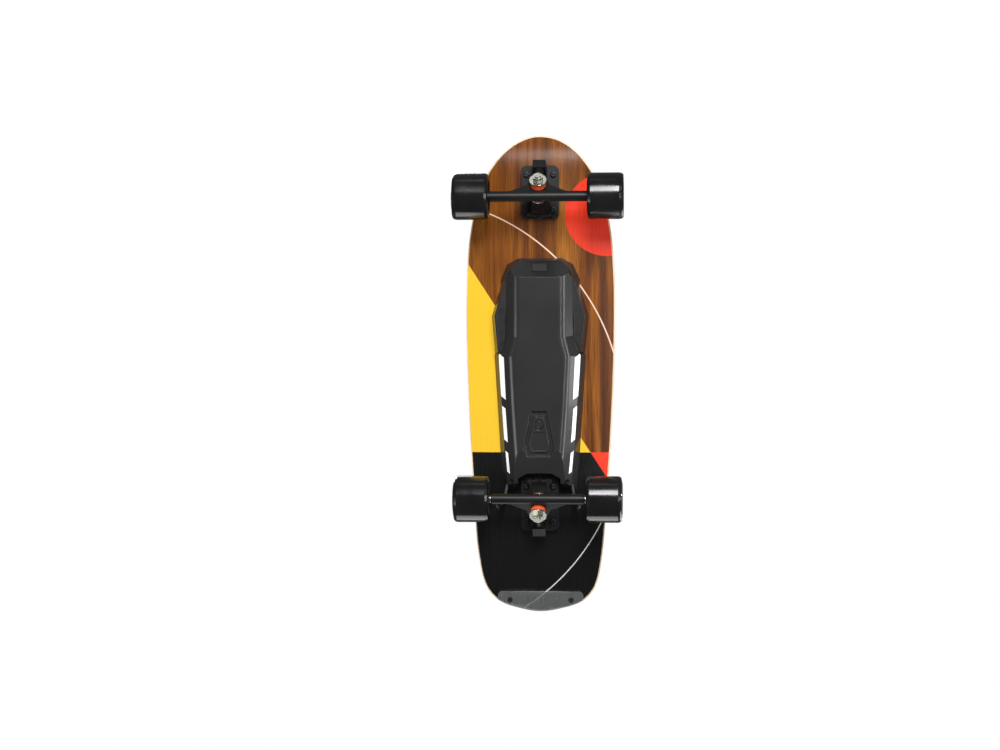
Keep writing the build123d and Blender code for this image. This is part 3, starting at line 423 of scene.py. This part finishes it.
CORE_MIDDLE = 0.105  # on the flat strip down the middle of the deck
CORE_THICKNESS = 0.0076
NOSE_START, NOSE_KICK, NOSE_RISE = 0.3175, 0.050, 0.013
TAIL_START, TAIL_KICK, TAIL_RISE = -0.2415, 0.126, 0.025
FLAT_HALF = 0.029
EDGE_WIDTH = 0.086  # from the flat strip to the deck's edge
CONCAVE, FLARE = 0.009, 0.0105
FLARE_AT, FLARE_REACH = 0.2674, 0.085
CONCAVE_TAIL, CONCAVE_NOSE = (0.262, 0.090), (0.342, 0.060)  # where it ends, and its fade
BOTTOM_PLY, TOP_PLY = 0.1, 0.9  # shares shown on the core's broad faces
SNAP = 0.12  # a corner this close to a face of the core counts as on it


def core_middle(x, y):
    """Height of the middle of the deck's core, in metres, from the form of the deck."""
    nose = max(x - NOSE_START, 0) / NOSE_KICK
    tail = max(TAIL_START - x, 0) / TAIL_KICK
    across = max(abs(y) - FLAT_HALF, 0) / EDGE_WIDTH
    tail_fade = smooth((x + CONCAVE_TAIL[0]) / CONCAVE_TAIL[1])
    nose_fade = smooth((CONCAVE_NOSE[0] - x) / CONCAVE_NOSE[1])
    flare = smooth(1 - abs(x - FLARE_AT) / FLARE_REACH)
    kicks = NOSE_RISE * nose**2 + TAIL_RISE * tail**2
    return CORE_MIDDLE + kicks + (CONCAVE + FLARE * flare) * tail_fade * nose_fade * across**2


def core_share(place):
    """0 on the core's lower face and 1 on its upper one."""
    share = 0.5 + (place.z - core_middle(place.x, place.y)) / CORE_THICKNESS
    return round(share) if abs(share - round(share)) < SNAP else min(max(share, 0.0), 1.0)


def ply_core():
    """The core's own mesh, copied, with the share of the thickness stored at every corner."""
    mesh = NODES["deck_core"].data.copy()
    piece = add_object("deck_core_plies", mesh)
    level = mesh.attributes.new("ply", "FLOAT", "CORNER")
    shares = [core_share(v.co) for v in mesh.vertices]
    for face in mesh.polygons:
        for corner in face.loop_indices:
            if abs(face.normal.z) < 0.5:
                level.data[corner].value = shares[mesh.loops[corner].vertex_index]
            else:
                level.data[corner].value = TOP_PLY if face.normal.z > 0 else BOTTOM_PLY
    mesh.materials.clear()
    mesh.materials.append(ply_material())
    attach(piece, "board")
    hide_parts("deck_core")


GUARD_BAND = 0.0065  # the guard's upper face lies less than this below the core's middle
GUARD_DROP = 0.0003


def guard_piece(made):
    """The tail guard, drawn a hair below the printed veneer so that the two never share a face."""
    mesh = NODES["tail_guard"].data.copy()
    piece = add_object("tail_guard_clear", mesh)
    for v in mesh.vertices:
        if v.co.z > core_middle(v.co.x, v.co.y) - GUARD_BAND:
            v.co.z -= GUARD_DROP
    mesh.materials.clear()
    mesh.materials.append(made["clear_plastic"])
    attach(piece, "board")
    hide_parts("tail_guard")


GRIP_TONES = [  # share of the noise, colour
    (0.36, (0.004, 0.004, 0.004)),
    (0.54, (0.020, 0.020, 0.021)),
    (0.72, (0.095, 0.095, 0.10)),
]


def grip_material():
    paint = Paint("grip", (0.02, 0.02, 0.02), 0.92)
    grains = paint.cells(1500.0)
    coarse = paint.noise(420.0, 4.0)
    patches = paint.noise(60.0, 3.0)
    # painted sparkle: glints of the grit drawn into the colour as light grey specks on the grains
    painted_glint_specks = paint.math("GREATER_THAN", grains.outputs["Color"], 0.80)
    base = paint.ramp(coarse, GRIP_TONES)
    grip_with_painted_glints = paint.over(paint.math("MULTIPLY", painted_glint_specks, 0.30), base, (0.42, 0.42, 0.44))
    paint.color(paint.over(paint.span(patches, 0.35, 0.7, 0.0, 0.35), grip_with_painted_glints, (0.045, 0.045, 0.047)))
    paint.bump(paint.math("ADD", coarse, grains.outputs["Distance"]), 0.0006, 0.9)
    return paint.mat


# ------------------------------------------------------------------ other materials
SCRATCH_SCALE = (60.0, 900.0, 900.0)  # long along the board, fine across it
WIRE_PITCH = 9000.0  # radians of copper wire to a metre


def moulded(name, color, roughness, grain=900.0, depth=0.00006, edge=0.0, **extra):
    paint = Paint(name, color, roughness, **extra)
    fine = paint.noise(grain, 3.0)
    slow = paint.noise(14.0, 3.0)
    lighter = tuple(min(1.0, c * 1.3 + 0.002) for c in color)
    paint.color(paint.over(paint.span(slow, 0.3, 0.75, 0.0, 0.5), color, lighter))
    paint.rough(paint.span(slow, 0.2, 0.8, roughness * 0.95, min(1.0, roughness * 1.08)))
    paint.bump(fine, depth, 0.35, edge)
    return paint.mat


def metal(name, color, roughness, metallic=1.0):
    paint = Paint(name, color, roughness, metallic)
    lines = paint.noise(1.0, 4.0, paint.stretched(*SCRATCH_SCALE))
    tarnish = paint.noise(45.0, 3.0)
    darker = tuple(c * 0.72 for c in color)
    paint.color(paint.over(paint.span(tarnish, 0.3, 0.7, 0.0, 0.6), color, darker))
    paint.rough(paint.span(lines, 0.3, 0.7, roughness * 0.75, min(1.0, roughness * 1.35)))
    paint.bump(lines, 0.000004, 0.2, 0.0004)
    return paint.mat


def urethane():
    paint = Paint("black_urethane", (0.006, 0.006, 0.006), 0.16)
    haze = paint.noise(26.0, 4.0)
    dust = paint.noise(900.0, 2.0)
    hazy = paint.span(haze, 0.35, 0.75, 0.0, 0.5)
    paint.color(paint.over(hazy, (0.004, 0.004, 0.004), (0.010, 0.010, 0.010)))
    paint.rough(paint.span(haze, 0.3, 0.7, 0.12, 0.22))
    paint.bump(dust, 0.000004, 0.15)
    return paint.mat


def clear_guard():
    paint = Paint("clear_plastic", (0.55, 0.57, 0.57), 0.2, Transmission_Weight=0.9, IOR=1.35)
    scuffs = paint.noise(160.0, 4.0)
    paint.rough(paint.span(scuffs, 0.35, 0.75, 0.08, 0.22))
    return paint.mat


def windings_material():
    paint = Paint("copper", (0.62, 0.27, 0.10), 0.35, 0.9)
    wires = paint.math("SINE", paint.math("MULTIPLY", paint.y, WIRE_PITCH))
    # painted shade in the grooves between the wires and a painted highlight on their crests, drawn into
    # the copper's colour
    wire_shade_and_highlight = paint.span(wires, -1.0, 1.0, 0.0, 1.0)
    paint.color(paint.over(wire_shade_and_highlight, (0.30, 0.10, 0.03), (0.72, 0.33, 0.13)))
    paint.bump(wires, 0.0002, 0.6)
    return paint.mat


def cap_material():
    """Dark satin metal with a fine even grain."""
    paint = Paint("motor_cap", (0.045, 0.045, 0.047), 0.36, 0.55)
    grain = paint.noise(1.0, 3.0, paint.stretched(240.0, 240.0, 240.0))
    flecks = paint.span(grain, 0.3, 0.7, 0.0, 0.6)
    paint.color(paint.over(flecks, (0.035, 0.035, 0.036), (0.075, 0.075, 0.078)))
    paint.rough(paint.span(grain, 0.3, 0.7, 0.28, 0.44))
    paint.bump(grain, 0.00004, 0.3)
    return paint.mat


def slot_materials():
    return {
        "dark_veneer": top_wood_material(),
        "grip": grip_material(),
        "steel": metal("steel", (0.60, 0.60, 0.53), 0.22),
        "black_steel": metal("black_steel", (0.030, 0.030, 0.031), 0.38, metallic=0.7),
        "black_cast": moulded(
            "black_cast", (0.006, 0.006, 0.006), 0.38, 1100.0, 0.00004, 0.0007, Specular_IOR_Level=0.3
        ),
        "rubber": moulded("rubber", (0.016, 0.016, 0.016), 0.72),
        "clear_plastic": clear_guard(),
        "orange_urethane": moulded("orange_urethane", (0.78, 0.10, 0.035), 0.34, Subsurface_Weight=0.15),
        "shell_plastic": moulded("shell_plastic", (0.016, 0.016, 0.016), 0.26, 1400.0, 0.00001, 0.0008),
        "trim_plastic": moulded("trim_plastic", (0.008, 0.008, 0.008), 0.34, 1400.0, 0.00001, 0.0006),
        # silver trim with a faint white glow: painted light that keeps the strips bright even where they
        # are shaded
        "silver_trim": moulded(
            "silver_trim", (0.86, 0.86, 0.87), 0.34, 700.0, 0.00003, Emission_Strength=0.25
        ),
        "cell_wrap": moulded("cell_wrap", (0.05, 0.30, 0.26), 0.3),
        "circuit_board": moulded("circuit_board", (0.02, 0.14, 0.05), 0.4),
        "aluminium": metal("aluminium", (0.68, 0.68, 0.70), 0.35),
        "cable_rubber": moulded("cable_rubber", (0.012, 0.012, 0.012), 0.5),
        "copper": windings_material(),
        "magnet": metal("magnet", (0.50, 0.50, 0.52), 0.3),
        "motor_cap": cap_material(),
        "bearing_shield": moulded("bearing_shield", (0.30, 0.030, 0.025), 0.45),
        "black_urethane": urethane(),
        "black_core": moulded("black_core", (0.008, 0.008, 0.008), 0.3),
    }


def paint_nodes():
    made = slot_materials()
    belly = belly_material()
    for entry in frame["record"]["subparts"]:
        node, slot = entry["node"], entry["material_slot"]
        if node == "deck_core":  # has a painted copy of its own
            continue
        mat = belly if node == "belly_veneer" else made[slot]
        mesh = NODES[node].data
        if not mesh.materials:
            mesh.materials.append(mat)
        for i in range(len(mesh.materials)):
            mesh.materials[i] = mat
    return made


# ------------------------------------------------------------------ soft pieces that cross a joint
WELD = 1e6  # vertices that agree to a micrometre are one
BUSHING_LENGTHS = (0.014, 0.010)  # on the board's side and on the road's side
BUSHING_CREASE = math.radians(35)


def split_by_height(source, names):
    """Copies of a node's loose solids, one object each, the highest one first."""
    mesh = source.data
    parent = list(range(len(mesh.vertices)))

    def root(i):
        while parent[i] != i:
            parent[i] = parent[parent[i]]
            i = parent[i]
        return i

    welded = {}
    for v in mesh.vertices:
        key = tuple(round(c * WELD) for c in v.co)
        if key in welded:
            parent[root(v.index)] = root(welded[key])
        welded[key] = v.index
    for edge in mesh.edges:
        parent[root(edge.vertices[0])] = root(edge.vertices[1])
    islands = {}
    for face in mesh.polygons:
        islands.setdefault(root(face.vertices[0]), []).append(face)
    pieces = []
    for faces in islands.values():
        used = sorted({i for f in faces for i in f.vertices})
        index = {v: i for i, v in enumerate(used)}
        new = bpy.data.meshes.new("island")
        corners = [[index[i] for i in f.vertices] for f in faces]
        new.from_pydata([mesh.vertices[i].co for i in used], [], corners)
        height = sum(mesh.vertices[i].co.z for i in used) / len(used)
        pieces.append((height, new))
    pieces.sort(key=lambda p: -p[0])
    made = []
    for (_, new), name in zip(pieces, names):
        new.name = name
        made.append(add_object(name, new))
    return made


def bushings(made):
    for end in ("front", "rear"):
        node = f"{end}_bushings"
        pieces = split_by_height(NODES[node], (f"{end}_board_bushing", f"{end}_road_bushing"))
        for piece, sign, length in zip(pieces, (1, -1), BUSHING_LENGTHS):
            piece.data.materials.append(made["orange_urethane"])
            for face in piece.data.polygons:
                face.use_smooth = True
            piece.data.set_sharp_from_angle(angle=BUSHING_CREASE)
            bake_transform(piece)
            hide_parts(node)


CABLE_ROUTE = [  # millimetres, left side
    (-170, 50, 88), (-184, 52, 84), (-200, 57, 70), (-205, 61, 52), (-196, 63, 41),
]
CABLE_RADIUS = 0.0029


def motor_leads(made):
    for side, sign in (("left", 1), ("right", -1)):
        data = bpy.data.curves.new(f"motor_lead_{side}", "CURVE")
        data.dimensions = "3D"
        data.bevel_depth = CABLE_RADIUS
        data.bevel_resolution = 5
        data.resolution_u = 12
        spline = data.splines.new("NURBS")
        spline.points.add(len(CABLE_ROUTE) - 1)
        for point, (x, y, z) in zip(spline.points, CABLE_ROUTE):
            point.co = (x * MM, sign * y * MM, z * MM, 1)
        spline.order_u = 3
        spline.use_endpoint_u = True
        curve = add_object(f"motor_lead_curve_{side}", data)
        bpy.context.view_layer.update()
        graph = bpy.context.evaluated_depsgraph_get()
        mesh = bpy.data.meshes.new_from_object(curve.evaluated_get(graph))
        bpy.data.objects.remove(curve)
        piece = add_object(f"motor_lead_{side}", mesh)
        mesh.materials.clear()
        mesh.materials.append(made["cable_rubber"])
        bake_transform(piece)
        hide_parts("motor_cables")


add_camera()
add_world()
add_lights()
add_floor()
painted = paint_nodes()
ply_core()
guard_piece(painted)
bushings(painted)
motor_leads(painted)
view = bpy.context.scene.view_settings
view.view_transform = "Standard"
view.look = "None"
